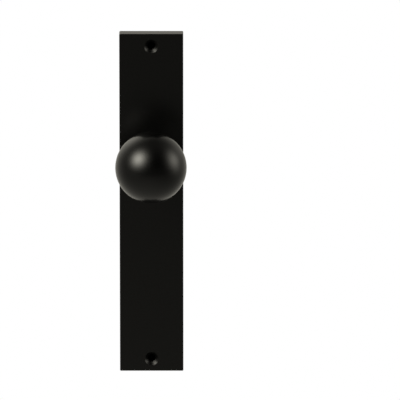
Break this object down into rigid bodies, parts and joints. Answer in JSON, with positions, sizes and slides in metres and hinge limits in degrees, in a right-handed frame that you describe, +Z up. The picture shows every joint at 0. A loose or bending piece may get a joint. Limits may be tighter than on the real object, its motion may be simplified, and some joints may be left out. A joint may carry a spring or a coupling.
{
  "type": "door knob on long plate",
  "caption": "Ball knob on a plain rectangular long plate without a keyhole, sprung, turning a square spindle, with countersunk screw holes at the plate's ends.",
  "frame": {"origin": "halfway between the two screw holes, on the door face (the plate's back)", "axes": "+Z up along the plate, +X to the right seen from the room, -Y out of the door along the knob, +Y into the door along the spindle"},
  "size_m": [0.05, 0.134, 0.245],
  "materials": {
    "black_coat": "satin black powder coat",
    "black_neck": "satin black powder coat",
    "bush_nylon": "black nylon",
    "spring_wire": "oiled spring wire",
    "zinc_sheet": "zinc plated sheet",
    "zinc_screw": "zinc plated",
    "dark_steel": "black oxide",
    "bright_steel": "drawn bright steel",
    "sintered_steel": "matt sintered steel"
  },
  "bodies": {
    "plate": {"long_plate": "black_coat", "neck_bush": "bush_nylon", "return_spring": "spring_wire", "spring_cover": "zinc_sheet", "cover_screws": "zinc_screw"},
    "knob": {"ball_knob": "black_coat", "knob_neck": "black_neck", "joining_stud": "dark_steel", "spindle": "bright_steel", "grub_screw": "dark_steel", "spring_driver": "sintered_steel", "thrust_washer": "bush_nylon", "wave_washer": "spring_wire", "circlip": "dark_steel"}
  },
  "joints": [
    {"name": "knob_turn", "type": "hinge", "parent": "plate", "child": "knob", "pos_m": [0, 0, 0.036], "axis": [0, -1, 0], "range_deg": [-45, 45], "stiffness_Nm_per_rad": 0.12, "deforming": ["return_spring"]}
  ]
}
